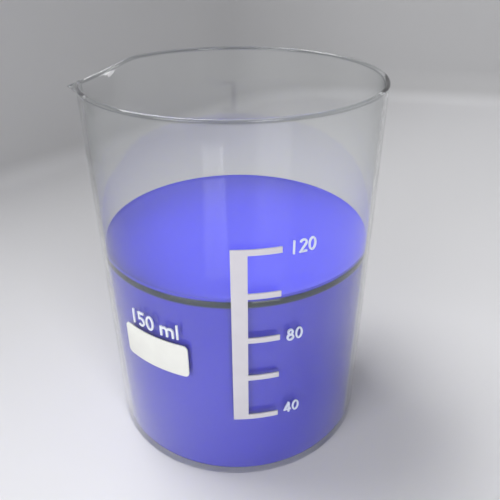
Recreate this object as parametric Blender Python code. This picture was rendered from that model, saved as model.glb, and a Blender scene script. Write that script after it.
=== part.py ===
"""A 150 ml low-form laboratory beaker with a pouring spout, half full of a blue solution.

The origin is the centre of the base's underside. +Z is up, and the spout points along -X. The
vessel is turned from one profile, and its spout is pressed out of the wall. The white marks are
ceramic enamel fired onto the outside of the wall: each one is drawn flat, given its thickness,
and then bent round the glass.
"""

import math

import bmesh
import bpy
from mathutils import Vector

MM = 0.001

# The glass
OUTER_RADIUS = 30.0 * MM
HEIGHT = 80.0 * MM
WALL = 0.9 * MM
BASE = 0.8 * MM
HEEL_RADIUS = 0.5 * MM
INNER_HEEL_RADIUS = 0.6 * MM
BEAD_PROUD = 0.05 * MM
BEAD_RADIUS = WALL / 2 + BEAD_PROUD

# The spout, pressed out of the mouth
SPOUT_AZIMUTH = math.pi
SPOUT_HALF_ANGLE = math.radians(26)
SPOUT_REACH = 6.7 * MM
SPOUT_DIP = 4.0 * MM
SPOUT_DEPTH = 10.0 * MM

# The solution
LIQUID_LEVEL = 46.8 * MM
LIQUID_GAP = 0.3 * MM

# The enamel, placed by its distance round the wall from the middle of the scale's bar
SCALE_AZIMUTH = math.radians(-73)
ENAMEL_GAP = 0.1 * MM
ENAMEL_THICKNESS = 0.25 * MM
BAR_WIDTH = 3.0 * MM
LINE_END = 7.6 * MM
LINE_THICKNESS = 1.2 * MM
LINE_HEIGHTS = {40: 18.05 * MM, 60: 28.65 * MM, 80: 37.95 * MM, 100: 48.0 * MM, 120: 57.1 * MM}
BAR_FOOT = LINE_HEIGHTS[40] - LINE_THICKNESS / 2
NUMERAL_HEIGHT = 2.7 * MM
NUMERAL_PITCH = 1.8 * MM
NUMERAL_START = 8.95 * MM
CAPACITY_HEIGHT = 3.4 * MM
CAPACITY_FOOT = 36.75 * MM
CAPACITY_STARTS = {"1": -23.8 * MM, "5": -21.65 * MM, "0": -19.4 * MM, "m": -15.9 * MM, "l": -13.1 * MM}
PANEL_WIDTH = 15.8 * MM
PANEL_HEIGHT = 7.7 * MM
PANEL_MIDDLE = -18.1 * MM
PANEL_FOOT = 27.75 * MM
PANEL_CORNER = 1.0 * MM

# How finely curves are cut
TURN_STEPS = 72
TURN_CROWDING = 0.4
SPOUT_ROWS = 8
STEP_ROUND_WALL = 0.8 * MM

# Letter shapes are drawn one unit high, with this width and thickness of line
LETTER_WIDTH = 0.58
LETTER_LINE = 0.135


def clear_scene():
    for obj in list(bpy.data.objects):
        bpy.data.objects.remove(obj, do_unlink=True)


def material(name, colour, roughness, transmission=0.0, ior=1.5):
    made = bpy.data.materials.new(name)
    made.use_nodes = True
    shader = made.node_tree.nodes["Principled BSDF"]
    shader.inputs["Base Color"].default_value = (*colour, 1.0)
    shader.inputs["Roughness"].default_value = roughness
    shader.inputs["Metallic"].default_value = 0.0
    shader.inputs["Transmission Weight"].default_value = transmission
    shader.inputs["IOR"].default_value = ior
    return made


def face_outwards(bm):
    bmesh.ops.recalc_face_normals(bm, faces=bm.faces)
    if bm.calc_volume(signed=True) < 0:
        bmesh.ops.reverse_faces(bm, faces=bm.faces)


def add_object(name, bm, finish):
    """Makes a bmesh a named object with its faces out and its curves shaded smooth."""
    face_outwards(bm)
    mesh = bpy.data.meshes.new(name)
    bm.to_mesh(mesh)
    bm.free()
    mesh.shade_smooth()
    mesh.set_sharp_from_angle(angle=math.radians(35))
    mesh.materials.append(finish)
    obj = bpy.data.objects.new(name, mesh)
    bpy.context.scene.collection.objects.link(obj)
    return obj


def arc(centre, radius, start, end, steps):
    """Points on a circle, or on an ellipse when radius is a pair, between two angles in degrees."""
    wide, high = radius if isinstance(radius, tuple) else (radius, radius)
    points = []
    for step in range(steps + 1):
        angle = math.radians(start + (end - start) * step / steps)
        points.append((centre[0] + wide * math.cos(angle), centre[1] + high * math.sin(angle)))
    return points


# The turned pieces


def turn(profile):
    """Spins a profile of (radius, height) points about the Z axis into a closed shell."""
    bm = bmesh.new()
    verts = [bm.verts.new((radius, 0.0, height)) for radius, height in profile]
    edges = [bm.edges.new(pair) for pair in zip(verts, verts[1:])]
    bmesh.ops.spin(
        bm,
        geom=verts + edges,
        cent=(0, 0, 0),
        axis=(0, 0, 1),
        angle=2 * math.pi,
        steps=TURN_STEPS,
        use_merge=True,
    )
    bmesh.ops.remove_doubles(bm, verts=bm.verts, dist=0.001 * MM)
    return bm


def crowd_towards_spout(bm):
    """Slides the turned steps round, so that they lie closer together at the spout."""
    for vert in bm.verts:
        radius = math.hypot(vert.co.x, vert.co.y)
        azimuth = math.atan2(vert.co.y, vert.co.x)
        azimuth -= TURN_CROWDING * math.sin(azimuth - SPOUT_AZIMUTH)
        vert.co.x = radius * math.cos(azimuth)
        vert.co.y = radius * math.sin(azimuth)


def press_spout(bm):
    """Draws the mouth outwards and down in one place, fading out round the wall and below."""
    for vert in bm.verts:
        radius = math.hypot(vert.co.x, vert.co.y)
        azimuth = math.atan2(vert.co.y, vert.co.x)
        away = math.remainder(azimuth - SPOUT_AZIMUTH, 2 * math.pi) / SPOUT_HALF_ANGLE
        near_mouth = 1 - (HEIGHT - vert.co.z) / SPOUT_DEPTH
        if abs(away) >= 1 or near_mouth <= 0:
            continue
        swell = (1 + math.cos(math.pi * away)) / 2
        radius += SPOUT_REACH * swell**1.5 * near_mouth**1.6
        vert.co.x = radius * math.cos(azimuth)
        vert.co.y = radius * math.sin(azimuth)
        vert.co.z -= SPOUT_DIP * swell**1.1 * near_mouth


def beaker_body():
    inner_radius = OUTER_RADIUS - WALL
    heel = (OUTER_RADIUS - HEEL_RADIUS, HEEL_RADIUS)
    inner_heel = (inner_radius - INNER_HEEL_RADIUS, BASE + INNER_HEEL_RADIUS)
    bead = (OUTER_RADIUS - WALL / 2, HEIGHT - BEAD_RADIUS)
    bead_foot = HEIGHT - 2 * BEAD_RADIUS
    bead_join = math.degrees(math.acos(WALL / 2 / BEAD_RADIUS))
    spout_foot = HEIGHT - SPOUT_DEPTH
    rows = [
        spout_foot + (bead_foot - spout_foot) * row / SPOUT_ROWS for row in range(SPOUT_ROWS + 1)
    ]

    profile = [(0.0, 0.0)]
    profile += arc(heel, HEEL_RADIUS, -90, 0, 5)
    profile += [(OUTER_RADIUS, height) for height in rows]
    profile += arc(bead, BEAD_RADIUS, -bead_join, 180 + bead_join, 10)
    profile += [(inner_radius, height) for height in reversed(rows)]
    profile += arc(inner_heel, INNER_HEEL_RADIUS, 0, -90, 4)
    profile += [(0.0, BASE)]

    bm = turn(profile)
    crowd_towards_spout(bm)
    press_spout(bm)
    glass = material("borosilicate_glass", (0.86, 0.91, 0.92), 0.02, transmission=1.0, ior=1.473)
    return add_object("beaker_body", bm, glass)


def blue_solution():
    radius = OUTER_RADIUS - WALL - LIQUID_GAP
    foot = BASE + LIQUID_GAP
    corner = INNER_HEEL_RADIUS
    profile = [(0.0, foot)]
    profile += arc((radius - corner, foot + corner), corner, -90, 0, 4)
    profile += [(radius, LIQUID_LEVEL), (0.0, LIQUID_LEVEL)]
    dye = material("blue_solution", (0.13, 0.12, 0.60), 0.06, ior=1.333)
    return add_object("blue_solution", turn(profile), dye)


# The enamel marks


def bend_round_wall(bm):
    """Wraps flat enamel, drawn as (distance round the wall, height, depth), onto the outside."""
    for vert in bm.verts:
        azimuth = SCALE_AZIMUTH + vert.co.x / OUTER_RADIUS
        radius = OUTER_RADIUS + ENAMEL_GAP + vert.co.z
        vert.co = Vector((radius * math.cos(azimuth), radius * math.sin(azimuth), vert.co.y))


def thicken(bm):
    """Gives a flat sheet of faces the enamel's thickness."""
    sheet = bmesh.ops.extrude_face_region(bm, geom=list(bm.faces))
    raised = [item for item in sheet["geom"] if isinstance(item, bmesh.types.BMVert)]
    bmesh.ops.translate(bm, verts=raised, vec=(0, 0, ENAMEL_THICKNESS))


def steps_between(start, end):
    """Places along the wall from start to end, close enough together to follow its curve."""
    count = max(1, math.ceil((end - start) / STEP_ROUND_WALL))
    return [start + (end - start) * step / count for step in range(count + 1)]


def graduation_scale(enamel):
    """A comb: one sheet over a grid, with faces only on the bar and on the lines."""
    half_line = LINE_THICKNESS / 2
    line_edges = [(height - half_line, height + half_line) for height in LINE_HEIGHTS.values()]
    columns = steps_between(-BAR_WIDTH / 2, BAR_WIDTH / 2)
    columns += steps_between(BAR_WIDTH / 2, LINE_END)[1:]
    rows = sorted(edge for edges in line_edges for edge in edges)

    bm = bmesh.new()
    grid = [[bm.verts.new((across, up, 0)) for across in columns] for up in rows]
    for row in range(len(rows) - 1):
        on_line = row % 2 == 0
        for column in range(len(columns) - 1):
            if on_line or columns[column + 1] <= BAR_WIDTH / 2:
                below, above = grid[row], grid[row + 1]
                bm.faces.new((below[column], below[column + 1], above[column + 1], above[column]))
    bmesh.ops.delete(bm, geom=[vert for vert in bm.verts if not vert.link_faces], context="VERTS")
    thicken(bm)
    bend_round_wall(bm)
    return add_object("graduation_scale", bm, enamel)


def marking_panel(enamel):
    """A strip of upright slices, which grow shorter where the corners are rounded."""
    half_width = PANEL_WIDTH / 2
    corner_steps = 5
    corner = arc((half_width - PANEL_CORNER, 0), PANEL_CORNER, 90, 0, corner_steps)
    right = [(across, PANEL_CORNER - rise) for across, rise in corner]
    left = [(-across, cut) for across, cut in reversed(right)]
    flat = steps_between(PANEL_CORNER - half_width, half_width - PANEL_CORNER)[1:-1]
    slices = left + [(across, 0.0) for across in flat] + right

    bm = bmesh.new()
    pairs = []
    for across, cut in slices:
        foot = bm.verts.new((PANEL_MIDDLE + across, PANEL_FOOT + cut, 0))
        head = bm.verts.new((PANEL_MIDDLE + across, PANEL_FOOT + PANEL_HEIGHT - cut, 0))
        pairs.append((foot, head))
    for (foot, head), (next_foot, next_head) in zip(pairs, pairs[1:]):
        bm.faces.new((foot, next_foot, next_head, head))
    thicken(bm)
    bend_round_wall(bm)
    return add_object("marking_panel", bm, enamel)


def letter_strokes(letter):
    """The centre lines of a letter one unit high, each as (points, whether it is a closed ring)."""
    edge = LETTER_LINE / 2
    middle = LETTER_WIDTH / 2
    far = LETTER_WIDTH - edge
    if letter in "1l":
        return [([(middle, 0), (middle, 1)], False)]
    if letter == "0":
        ring = arc((middle, 0.5), (middle - edge, 0.5 - edge), 0, 360, 40)
        return [(ring[:-1], True)]
    if letter == "8":
        upper = arc((middle, 0.735), (0.8 * middle - edge, 0.265 - edge), 0, 360, 28)
        lower = arc((middle, 0.285), (middle - edge, 0.285 - edge), 0, 360, 32)
        return [(upper[:-1], True), (lower[:-1], True)]
    if letter == "2":
        crook = arc((middle, 0.72), (middle - edge, 0.28 - edge), 165, -35, 18)
        return [(crook + [(edge + 0.02, edge), (LETTER_WIDTH, edge)], False)]
    if letter == "4":
        return [
            ([(0.40, 1.0), (edge, 0.28), (LETTER_WIDTH, 0.28)], False),
            ([(0.40, 0.0), (0.40, 0.93)], False),
        ]
    if letter == "5":
        bowl = arc((middle - 0.02, 0.32), (middle - edge, 0.32 - edge), 125, -140, 22)
        return [([(far, 1 - edge), (0.13, 1 - edge)] + bowl, False)]
    if letter == "m":
        # Three legs, joined by two arches, two thirds as high as a capital
        reach, spring, crown = 0.19, 0.42, 0.24
        first, second, third = edge, edge + 2 * reach, edge + 4 * reach
        arches = [
            arc((left + reach, spring), (reach, crown - edge), 180, 0, 12) for left in (first, second)
        ]
        return [
            ([(first, 0), (first, spring + crown)], False),
            (arches[0] + [(second, 0)], False),
            (arches[1] + [(third, 0)], False),
        ]
    raise ValueError(letter)


def stroke(points, closed):
    """A flat strip of even width that follows a centre line, with mitred corners."""
    line = [Vector(point) for point in points]
    count = len(line)
    bm = bmesh.new()
    sides = []
    for index, point in enumerate(line):
        before = line[index - 1] if closed or index > 0 else None
        after = line[(index + 1) % count] if closed or index < count - 1 else None
        coming = (point - before).normalized() if before else (after - point).normalized()
        going = (after - point).normalized() if after else coming
        along = (coming + going).normalized()
        mitre = min(1 / max(along.dot(going), 0.1), 1.7) * LETTER_LINE / 2
        across = Vector((-along.y, along.x)) * mitre
        sides.append([bm.verts.new((*(point + across * side), 0)) for side in (1, -1)])
    for index in range(count if closed else count - 1):
        (a, b), (c, d) = sides[index], sides[(index + 1) % count]
        bm.faces.new((a, b, d, c))
    return bm


def joined(strokes, height):
    """One flat body from a letter's strokes, at its real height, with a union where they cross."""
    parts = []
    for points, closed in strokes:
        bm = stroke(points, closed)
        bmesh.ops.scale(bm, verts=bm.verts, vec=(height, height, 1))
        thicken(bm)
        face_outwards(bm)
        mesh = bpy.data.meshes.new("stroke")
        bm.to_mesh(mesh)
        bm.free()
        part = bpy.data.objects.new("stroke", mesh)
        bpy.context.scene.collection.objects.link(part)
        parts.append(part)
    for other in parts[1:]:
        union = parts[0].modifiers.new("union", "BOOLEAN")
        union.operation = "UNION"
        union.solver = "EXACT"
        union.object = other
    graph = bpy.context.evaluated_depsgraph_get()
    bm = bmesh.new()
    bm.from_object(parts[0], graph)
    for part in parts:
        bpy.data.objects.remove(part, do_unlink=True)
    bmesh.ops.remove_doubles(bm, verts=bm.verts, dist=0.002 * MM)
    return bm


def enamel_letter(name, letter, start, foot, height, enamel):
    bm = joined(letter_strokes(letter), height)
    bmesh.ops.translate(bm, verts=bm.verts, vec=(start, foot, 0))
    bend_round_wall(bm)
    return add_object(name, bm, enamel)


def numeral(value, enamel):
    """The figures beside a numbered line, level with it but no lower than the bar."""
    foot = max(LINE_HEIGHTS[value] - NUMERAL_HEIGHT / 2, BAR_FOOT)
    for place, figure in enumerate(str(value)):
        start = NUMERAL_START + place * NUMERAL_PITCH
        enamel_letter(f"numeral_{value}_{figure}", figure, start, foot, NUMERAL_HEIGHT, enamel)


def capacity_mark(enamel):
    for letter, start in CAPACITY_STARTS.items():
        enamel_letter(f"capacity_{letter}", letter, start, CAPACITY_FOOT, CAPACITY_HEIGHT, enamel)


def build():
    clear_scene()
    beaker_body()
    blue_solution()
    graduation_scale(material("scale_enamel", (0.78, 0.77, 0.80), 0.45))
    marking_panel(material("panel_enamel", (0.88, 0.89, 0.86), 0.60))
    figures = material("numeral_enamel", (0.80, 0.83, 0.88), 0.45)
    for value in (120, 80, 40):
        numeral(value, figures)
    capacity_mark(material("capacity_enamel", (0.84, 0.86, 0.88), 0.45))


build()
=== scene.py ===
import math

import bpy
from mathutils import Matrix, Vector


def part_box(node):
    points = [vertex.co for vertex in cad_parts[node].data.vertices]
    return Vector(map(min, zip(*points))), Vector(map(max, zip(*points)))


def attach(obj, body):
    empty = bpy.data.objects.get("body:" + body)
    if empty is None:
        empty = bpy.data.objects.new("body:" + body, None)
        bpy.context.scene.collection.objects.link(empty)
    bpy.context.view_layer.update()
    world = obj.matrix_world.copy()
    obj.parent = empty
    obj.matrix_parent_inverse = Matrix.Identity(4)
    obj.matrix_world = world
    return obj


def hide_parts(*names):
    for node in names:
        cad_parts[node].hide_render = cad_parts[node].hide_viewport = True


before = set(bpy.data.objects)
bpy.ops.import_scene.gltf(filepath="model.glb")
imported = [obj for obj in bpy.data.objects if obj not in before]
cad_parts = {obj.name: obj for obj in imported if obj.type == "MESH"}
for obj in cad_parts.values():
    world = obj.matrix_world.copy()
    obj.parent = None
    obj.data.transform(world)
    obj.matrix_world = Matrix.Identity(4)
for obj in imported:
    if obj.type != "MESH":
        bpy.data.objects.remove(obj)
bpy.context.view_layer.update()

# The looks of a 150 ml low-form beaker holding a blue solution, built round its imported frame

# ---------------------------------------------------------------------------------------------
# The glass vessel. One gather of borosilicate glass, blown in a turning mould, so its wall is
# even and round. The mouth is fire-polished to a bead, and the spout is pressed out of it hot.
# ---------------------------------------------------------------------------------------------

MM = 0.001
wall = 0.9 * MM
bead_proud = 0.05 * MM
bead_radius = wall / 2 + bead_proud
bead_join = math.degrees(math.acos(wall / 2 / bead_radius))
base = 0.8 * MM
heel = 0.5 * MM
inner_heel = 0.6 * MM
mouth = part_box("beaker_body")[1].z
outer_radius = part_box("beaker_body")[1].x - bead_proud
inner_radius = outer_radius - wall
mid_wall = outer_radius - wall / 2
spout_depth = 10.0 * MM
spout_dip = 4.0 * MM
spout_reach = 6.7 * MM
spout_half_angle = math.radians(26)
wave_size = 14 * MM
wave_depth = 0.4 * MM
thin_wall_ior = 1.05
borosilicate_ior = 1.473
MIX_FACTOR, MIX_A, MIX_B, MIX_COLOUR = 0, 6, 7, 2  # A colour Mix node's inputs and its output


def arc(centre, radius, start, end, steps):
    """Points (radius, height) on a circle between two angles in degrees."""
    angles = [math.radians(start + (end - start) * step / steps) for step in range(steps + 1)]
    return [(centre[0] + radius * math.cos(a), centre[1] + radius * math.sin(a)) for a in angles]


def turned(name, profile, steps=288):
    """A solid of revolution: a disc, drawn up through every ring of its profile in turn."""
    bpy.ops.object.select_all(action="DESELECT")
    bpy.ops.mesh.primitive_circle_add(
        vertices=steps, radius=profile[0][0], fill_type="NGON", location=(0, 0, profile[0][1])
    )
    piece = bpy.context.object
    piece.name = piece.data.name = name
    bpy.ops.object.transform_apply(location=True)
    bpy.ops.object.mode_set(mode="EDIT")
    bpy.ops.mesh.select_all(action="SELECT")
    for (radius, height), (next_radius, next_height) in zip(profile, profile[1:]):
        bpy.ops.mesh.extrude_region_move(
            TRANSFORM_OT_translate={"value": (0, 0, next_height - height)}
        )
        growth = next_radius / radius
        bpy.ops.transform.resize(value=(growth, growth, 1), center_override=(0, 0, 0))
    bpy.ops.mesh.select_all(action="SELECT")
    bpy.ops.mesh.normals_make_consistent(inside=False)
    bpy.ops.object.mode_set(mode="OBJECT")
    bpy.ops.object.shade_smooth()
    return piece


def spread(start, end, steps):
    """Evenly spaced values from start to end, both included."""
    return [start + (end - start) * step / steps for step in range(steps + 1)]


bead_foot = mouth - 2 * bead_radius
spout_rows = spread(mouth - spout_depth, bead_foot, steps=24)
vessel_profile = arc((outer_radius - heel, heel), heel, -90, 0, steps=12)
vessel_profile += [(outer_radius, height) for height in spout_rows]
vessel_profile += arc(
    (mid_wall, mouth - bead_radius), bead_radius, -bead_join, 180 + bead_join, steps=20
)
vessel_profile += [(inner_radius, height) for height in reversed(spout_rows)]
vessel_profile += arc(
    (inner_radius - inner_heel, base + inner_heel), inner_heel, 0, -90, steps=10
)

vessel = turned("glass_vessel", vessel_profile)

# How close each point of the bead is to its inner or outer side, kept for the glass material. The
# high power keeps the value near 0 except in a thin line round each side, where the glass is
# painted grey as shade.
shade_line_power = 14
painted_bead_line = vessel.data.attributes.new("painted_bead_line", "FLOAT", "POINT")
for vertex in vessel.data.vertices:
    if vertex.co.z > bead_foot + bead_proud:
        off_middle = math.hypot(vertex.co.x, vertex.co.y) - mid_wall
        painted_bead_line.data[vertex.index].value = (off_middle / bead_radius) ** shade_line_power

# The spout: the mouth is drawn out and down at -X, fading out round the wall and below it. The
# powers say how quickly the reach narrows to the tip, how it grows upwards, and how the dip narrows.
reach_narrows, reach_grows, dip_narrows = 1.5, 1.6, 1.1
for vertex in vessel.data.vertices:
    x, y, z = vertex.co
    radius, azimuth = math.hypot(x, y), math.atan2(y, x)
    away = math.remainder(azimuth - math.pi, 2 * math.pi) / spout_half_angle
    near_mouth = 1 - (mouth - z) / spout_depth
    if abs(away) < 1 and near_mouth > 0:
        swell = (1 + math.cos(math.pi * away)) / 2
        radius += spout_reach * swell**reach_narrows * near_mouth**reach_grows
        vertex.co = (
            radius * math.cos(azimuth),
            radius * math.sin(azimuth),
            z - spout_dip * swell**dip_narrows * near_mouth,
        )


def linear(code):
    """A colour written as an sRGB hex code, as the linear numbers that shaders take."""
    parts = [int(code[i : i + 2], 16) / 255 for i in (1, 3, 5)]
    return (*[p / 12.92 if p <= 0.04045 else ((p + 0.055) / 1.055) ** 2.4 for p in parts], 1.0)


def node(material, kind, settings=None, links=None):
    """Adds a shader node. settings are its options and plain inputs, links its wired inputs."""
    made = material.node_tree.nodes.new(kind)
    for key, value in (settings or {}).items():
        if isinstance(key, str) and hasattr(made, key):
            setattr(made, key, value)
        else:
            made.inputs[key].default_value = value
    for key, source in (links or {}).items():
        material.node_tree.links.new(source, made.inputs[key])
    return made


def new_material(name):
    """A material with an empty node tree."""
    material = bpy.data.materials.new(name)
    material.use_nodes = True
    material.node_tree.nodes.clear()
    return material


def finish_with(piece, material):
    """Gives a piece one material all over."""
    piece.data.materials.clear()
    piece.data.materials.append(material)


# Borosilicate glass: colourless and fire-polished, with a slow unevenness left by the blowing. The
# wall is so thin and even that it hardly bends what is behind it, so the body's IOR is kept low
# and a clear coat of the real IOR gives the gloss. Seen edge-on it turns greyer: a little for the
# longer way through, mostly as painted shade standing in for the dark edges that refraction gives.
# The two sides of the bead carry a thin grey line of painted shade, for the same dark edges.
glass = new_material("borosilicate_glass")
place = node(glass, "ShaderNodeTexCoord")
waves = node(
    glass,
    "ShaderNodeTexNoise",
    {"Scale": 1 / wave_size, "Detail": 1.0, "Roughness": 0.4},
    {"Vector": place.outputs["Object"]},
)
bend = node(
    glass,
    "ShaderNodeBump",
    {"Strength": 0.04, "Distance": wave_depth},
    {"Height": waves.outputs["Fac"]},
)
# Painted shade: the glass is painted greyer where it is seen edge-on
edge_on = node(glass, "ShaderNodeLayerWeight", {"Blend": 0.5})
steep = node(
    glass, "ShaderNodeMath", {"operation": "POWER", 1: 4.0}, {0: edge_on.outputs["Facing"]}
)
painted_edge_on_shade = node(
    glass,
    "ShaderNodeMix",
    {"data_type": "RGBA", MIX_A: linear("#FCFDFD"), MIX_B: linear("#A4A9AA")},
    {MIX_FACTOR: steep.outputs["Value"]},
)
# Painted shade: a thin grey line along both sides of the bead
painted_bead_lines = node(glass, "ShaderNodeAttribute", {"attribute_name": "painted_bead_line"})
painted_bead_shade = node(
    glass,
    "ShaderNodeMix",
    {"data_type": "RGBA", MIX_B: linear("#ACB1B2")},
    {MIX_FACTOR: painted_bead_lines.outputs["Fac"], MIX_A: painted_edge_on_shade.outputs[MIX_COLOUR]},
)
shader = node(
    glass,
    "ShaderNodeBsdfPrincipled",
    {
        "Roughness": 0.0,
        "IOR": thin_wall_ior,
        "Transmission Weight": 1.0,
        "Coat Weight": 1.0,
        "Coat Roughness": 0.0,
        "Coat IOR": borosilicate_ior,
    },
    {"Base Color": painted_bead_shade.outputs[MIX_COLOUR], "Normal": bend.outputs["Normal"]},
)
node(glass, "ShaderNodeOutputMaterial", None, {"Surface": shader.outputs["BSDF"]})
finish_with(vessel, glass)
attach(vessel, "root")
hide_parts("beaker_body")

# ---------------------------------------------------------------------------------------------
# The solution. Water with a strong violet-blue dye, poured in to a little over half height. It
# creeps up the glass at its edge, and the thin edge there holds too little dye to look blue. A dark
# grey-green band is painted on its side just under the edge, as painted shade.
# ---------------------------------------------------------------------------------------------

film = 0.03 * MM
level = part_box("blue_solution")[1].z
creep = 0.35 * MM
creep_reach = 0.6 * MM
lip = 0.6 * MM
# Height of the band of painted shade under the edge, where the side's rows stop
painted_band_height = 2.1 * MM
blur = 0.25 * MM
skin = 0.05 * MM
side_foot = 4 * MM
edge_round = 0.1 * MM
flat_from = 3.5 * MM
cloud_size = 18 * MM
water_ior = 1.333
solution_radius = inner_radius - film

solution_profile = arc(
    (inner_radius - inner_heel, base + inner_heel), inner_heel - film, -90, 0, steps=10
)
solution_profile += [
    (solution_radius, height) for height in spread(side_foot, level - painted_band_height, steps=8)
]
solution_profile += [(solution_radius, level)]
solution_profile += [
    (solution_radius - inward, level - creep * (1 - math.exp(-inward / creep_reach)))
    for inward in spread(edge_round, flat_from, steps=14)
]
solution = turned("blue_solution_fill", solution_profile)

# Water with a dissolved dye: one even violet-blue, so strong that nothing shows through it. It is
# painted palest at the open surface, as painted light, and deeper on its side behind the wall, as
# painted shade, with a faint drift where it isn't mixed.
dye = new_material("blue_dye_solution")
place = node(dye, "ShaderNodeTexCoord")
clouds = node(
    dye,
    "ShaderNodeTexNoise",
    {"Scale": 1 / cloud_size, "Detail": 2.0, "Roughness": 0.5},
    {"Vector": place.outputs["Object"]},
)
# Painted light: the open surface gets a paler copy of the blue
lit_surface_colour = node(
    dye,
    "ShaderNodeMix",
    {"data_type": "RGBA", MIX_A: linear("#5A5AFC"), MIX_B: linear("#6262FF")},
    {MIX_FACTOR: clouds.outputs["Fac"]},
)
# Painted shade: a darker copy of the blue for the side seen through the wall
shaded_side_colour = node(
    dye,
    "ShaderNodeMix",
    {"data_type": "RGBA", MIX_A: linear("#4C49D2"), MIX_B: linear("#514EDC")},
    {MIX_FACTOR: clouds.outputs["Fac"]},
)
split = node(dye, "ShaderNodeSeparateXYZ", None, {0: place.outputs["Object"]})
across = node(
    dye,
    "ShaderNodeVectorMath",
    {"operation": "MULTIPLY", 1: (1, 1, 0)},
    {0: place.outputs["Object"]},
)
from_axis = node(dye, "ShaderNodeVectorMath", {"operation": "LENGTH"}, {0: across.outputs["Vector"]})
at_wall = node(
    dye,
    "ShaderNodeMath",
    {"operation": "GREATER_THAN", 1: solution_radius - skin},
    {0: from_axis.outputs["Value"]},
)
under_lip = node(
    dye,
    "ShaderNodeMapRange",
    {
        "interpolation_type": "SMOOTHSTEP",
        "From Min": level - lip + blur,
        "From Max": level - lip - blur,
    },
    {"Value": split.outputs["Z"]},
)
# Where the painted shade of the side goes: on the wall side, below the surface's rim
shaded_side_mask = node(
    dye,
    "ShaderNodeMath",
    {"operation": "MULTIPLY"},
    {0: at_wall.outputs["Value"], 1: under_lip.outputs["Result"]},
)
# Painted shade: a dark grey-green band on the side, just under the edge
painted_band_mask = node(
    dye,
    "ShaderNodeMapRange",
    {
        "interpolation_type": "SMOOTHSTEP",
        "From Min": level - painted_band_height - blur,
        "From Max": level - painted_band_height + blur,
    },
    {"Value": split.outputs["Z"]},
)
# The side's painted shade, with the dark band painted over its top
shaded_wall_colour = node(
    dye,
    "ShaderNodeMix",
    {"data_type": "RGBA", MIX_B: linear("#303E45")},
    {MIX_FACTOR: painted_band_mask.outputs["Result"], MIX_A: shaded_side_colour.outputs[MIX_COLOUR]},
)
colour = node(
    dye,
    "ShaderNodeMix",
    {"data_type": "RGBA"},
    {
        MIX_FACTOR: shaded_side_mask.outputs["Value"],
        MIX_A: lit_surface_colour.outputs[MIX_COLOUR],
        MIX_B: shaded_wall_colour.outputs[MIX_COLOUR],
    },
)
shader = node(
    dye,
    "ShaderNodeBsdfPrincipled",
    {"Roughness": 0.05, "IOR": water_ior},
    {"Base Color": colour.outputs[MIX_COLOUR]},
)
node(dye, "ShaderNodeOutputMaterial", None, {"Surface": shader.outputs["BSDF"]})
finish_with(solution, dye)
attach(solution, "root")
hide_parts("blue_solution")

# ---------------------------------------------------------------------------------------------
# The marks. White ceramic enamel, screen-printed onto the wall and fired until it fuses with
# the glass. Each mark stands a little proud, with its edges rounded where the enamel melted.
# ---------------------------------------------------------------------------------------------

enamel_edge = 0.07 * MM
enamel_front = outer_radius + 0.2 * MM
enamel_back = outer_radius + 0.01 * MM
same_point = 0.002 * MM
facet_angle = math.radians(1)
melted_angle = math.radians(50)
smooth_angle = math.radians(40)
thin_patch = 3 * MM
enamel_grain = 0.25 * MM
grain_depth = 0.02 * MM
roughness_drift = 0.08
enamel_ior = 1.5


def fired_mark(name, node_name, material):
    """A printed mark, sunk onto the glass, with the facets of its faces joined and edges melted."""
    bpy.ops.object.select_all(action="DESELECT")
    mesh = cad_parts[node_name].data.copy()
    mark = bpy.data.objects.new(name, mesh)
    bpy.context.scene.collection.objects.link(mark)
    bpy.context.view_layer.objects.active = mark
    mark.select_set(True)
    bpy.ops.object.mode_set(mode="EDIT")
    bpy.ops.mesh.select_all(action="SELECT")
    bpy.ops.mesh.remove_doubles(threshold=same_point)
    bpy.ops.mesh.dissolve_limited(angle_limit=facet_angle)
    bpy.ops.object.mode_set(mode="OBJECT")
    for vertex in mark.data.vertices:
        radius = math.hypot(vertex.co.x, vertex.co.y)
        if radius < enamel_front:
            vertex.co.x *= enamel_back / radius
            vertex.co.y *= enamel_back / radius
    melt = mark.modifiers.new("melted_edge", "BEVEL")
    melt.width = enamel_edge
    melt.segments = 3
    melt.limit_method = "ANGLE"
    melt.angle_limit = melted_angle
    bpy.ops.object.modifier_apply(modifier="melted_edge")
    bpy.ops.object.shade_smooth_by_angle(angle=smooth_angle)
    finish_with(mark, material)
    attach(mark, "root")
    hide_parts(node_name)


def ceramic_enamel(name, light, dark, roughness):
    """White enamel: opaque, fine-grained and half matt, a little uneven where the ink lay thinner."""
    material = new_material(name)
    place = node(material, "ShaderNodeTexCoord")
    uneven = node(
        material,
        "ShaderNodeTexNoise",
        {"Scale": 1 / thin_patch, "Detail": 3.0},
        {"Vector": place.outputs["Object"]},
    )
    grain = node(
        material,
        "ShaderNodeTexNoise",
        {"Scale": 1 / enamel_grain, "Detail": 2.0},
        {"Vector": place.outputs["Object"]},
    )
    tone = node(
        material,
        "ShaderNodeMix",
        {"data_type": "RGBA", MIX_A: linear(light), MIX_B: linear(dark)},
        {MIX_FACTOR: uneven.outputs["Fac"]},
    )
    dull = node(
        material,
        "ShaderNodeMapRange",
        {"To Min": roughness - roughness_drift, "To Max": roughness + roughness_drift},
        {"Value": grain.outputs["Fac"]},
    )
    rough = node(
        material,
        "ShaderNodeBump",
        {"Strength": 0.25, "Distance": grain_depth},
        {"Height": grain.outputs["Fac"]},
    )
    shader = node(
        material,
        "ShaderNodeBsdfPrincipled",
        {"IOR": enamel_ior},
        {
            "Base Color": tone.outputs[MIX_COLOUR],
            "Roughness": dull.outputs["Result"],
            "Normal": rough.outputs["Normal"],
        },
    )
    node(material, "ShaderNodeOutputMaterial", None, {"Surface": shader.outputs["BSDF"]})
    return material


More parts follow.
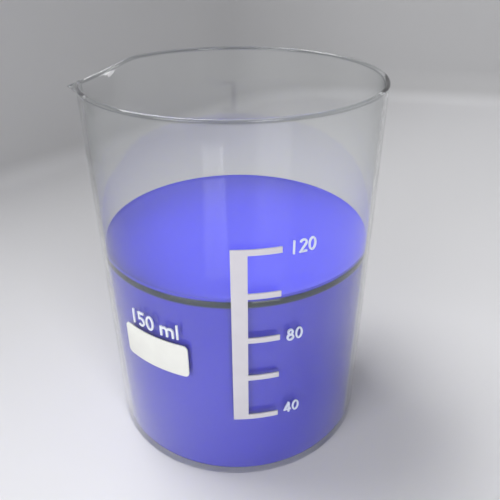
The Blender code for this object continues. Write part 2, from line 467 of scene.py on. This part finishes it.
# All the marks are one white enamel. The scale's copy is greyer, as painted shade, because it faces
# away from the side light; the figures and letters are given a bluer white.
scale_enamel = ceramic_enamel("scale_enamel", "#D5D2D9", "#CAC7CE", 0.4)
panel_enamel = ceramic_enamel("panel_enamel", "#EEEFE9", "#E4E4DF", 0.55)
numeral_enamel = ceramic_enamel("numeral_enamel", "#E2E8FA", "#D4DCF2", 0.35)
capacity_enamel = ceramic_enamel("capacity_enamel", "#EEF2FA", "#E2E6F2", 0.35)

fired_mark("scale_print", "graduation_scale", scale_enamel)
fired_mark("writing_panel", "marking_panel", panel_enamel)
for value in ("120", "80", "40"):
    for figure in value:
        cad_name = f"numeral_{value}_{figure}"
        fired_mark(f"figure_{value}_{figure}", cad_name, numeral_enamel)
for letter in "150ml":
    fired_mark(f"letter_{letter}", f"capacity_{letter}", capacity_enamel)

# ---------------------------------------------------------------------------------------------
# The studio: one pale matt sweep, laid flat under the beaker and turned up into low grey walls
# with a coved foot, and large soft lights above it. The floor lies a hair below the beaker's base,
# because two faces in one place render black.
# ---------------------------------------------------------------------------------------------

sweep_corners = [(-0.38, -0.373), (0.50, -0.50), (0.50, 0.330), (-0.057, 0.302)]
sweep_height = 0.25
corner_round = 0.05
cove = 0.02
cove_angle = math.radians(60)
pale_height = 0.4 * cove
floor_gap = 0.05 * MM

bpy.ops.object.select_all(action="DESELECT")
bpy.ops.mesh.primitive_circle_add(vertices=4, radius=1, fill_type="NGON")
sweep = bpy.context.object
sweep.name = sweep.data.name = "studio_sweep"
for vertex, (x, y) in zip(sweep.data.vertices, sweep_corners):
    vertex.co = (x, y, -floor_gap)
bpy.ops.object.mode_set(mode="EDIT")
bpy.ops.mesh.select_all(action="SELECT")
bpy.ops.mesh.bevel(offset=corner_round, segments=10, affect="VERTICES")
bpy.ops.mesh.select_all(action="SELECT")
bpy.ops.mesh.region_to_loop()
bpy.ops.mesh.extrude_edges_move(TRANSFORM_OT_translate={"value": (0, 0, sweep_height)})
bpy.ops.object.mode_set(mode="OBJECT")
foot_edges = sweep.modifiers.new("cove", "BEVEL")
foot_edges.width = cove
foot_edges.segments = 8
foot_edges.limit_method = "ANGLE"
foot_edges.angle_limit = cove_angle
bpy.ops.object.modifier_apply(modifier="cove")
bpy.ops.object.shade_smooth_by_angle(angle=smooth_angle)

# Matt emulsion: pale on the floor, and a middle grey on the walls above the cove
paint = new_material("matt_studio_paint")
place = node(paint, "ShaderNodeTexCoord")
split = node(paint, "ShaderNodeSeparateXYZ", None, {0: place.outputs["Object"]})
up_wall = node(
    paint,
    "ShaderNodeMapRange",
    {"interpolation_type": "SMOOTHSTEP", "From Min": 0.0, "From Max": pale_height},
    {"Value": split.outputs["Z"]},
)
tone = node(
    paint,
    "ShaderNodeMix",
    {"data_type": "RGBA", MIX_A: linear("#E6E6E8"), MIX_B: linear("#C8C8C9")},
    {MIX_FACTOR: up_wall.outputs["Result"]},
)
shader = node(
    paint, "ShaderNodeBsdfPrincipled", {"Roughness": 0.6}, {"Base Color": tone.outputs[MIX_COLOUR]}
)
node(paint, "ShaderNodeOutputMaterial", None, {"Surface": shader.outputs["BSDF"]})
finish_with(sweep, paint)

# A weak, slightly cool fill from all round
world = bpy.data.worlds.new("studio")
bpy.context.scene.world = world
world.use_nodes = True
fill = world.node_tree.nodes["Background"]
fill.inputs["Color"].default_value = (0.96, 0.96, 1.0, 1)
fill.inputs["Strength"].default_value = 0.1


def soft_light(name, heading, height, distance, size, radiance):
    """A square soft box, aimed at the object from a heading and a height in degrees."""
    light = bpy.data.lights.new(name, "AREA")
    light.shape = "SQUARE"
    light.size = size
    light.energy = radiance * math.pi * size**2
    lamp = bpy.data.objects.new(name, light)
    bpy.context.scene.collection.objects.link(lamp)
    around, up = math.radians(heading), math.radians(height)
    aim = Vector((0, 0, mouth / 2))
    out = Vector((math.cos(around) * math.cos(up), math.sin(around) * math.cos(up), math.sin(up)))
    lamp.location = aim + out * distance
    lamp.rotation_euler = out.to_track_quat("Z", "Y").to_euler()
    lamp.visible_camera = False


soft_light("back_light", heading=160, height=60, distance=0.70, size=0.40, radiance=8.0)
soft_light("front_light", heading=-52, height=30, distance=0.42, size=0.15, radiance=8.0)
soft_light("side_light", heading=-112, height=25, distance=0.42, size=0.24, radiance=3.6)

# The camera stands close in front, above the mouth, and looks down into the beaker
look_heading, look_down, lean = 104.91, 30.361, -0.245

camera = bpy.data.objects.new("camera", bpy.data.cameras.new("camera"))
bpy.context.scene.collection.objects.link(camera)
camera.data.lens = 39.405
camera.data.sensor_width = 36.0
camera.data.clip_start = 0.001
camera.location = (31.20 * MM, -105.32 * MM, 104.38 * MM)
turn = Matrix.Rotation(math.radians(look_heading - 90), 3, "Z")
tilt = Matrix.Rotation(math.radians(90 - look_down), 3, "X")
roll = Matrix.Rotation(math.radians(lean), 3, "Z")
camera.rotation_euler = (turn @ tilt @ roll).to_euler()
bpy.context.scene.camera = camera
bpy.context.scene.view_settings.view_transform = "Standard"  # The default greys the strong blue
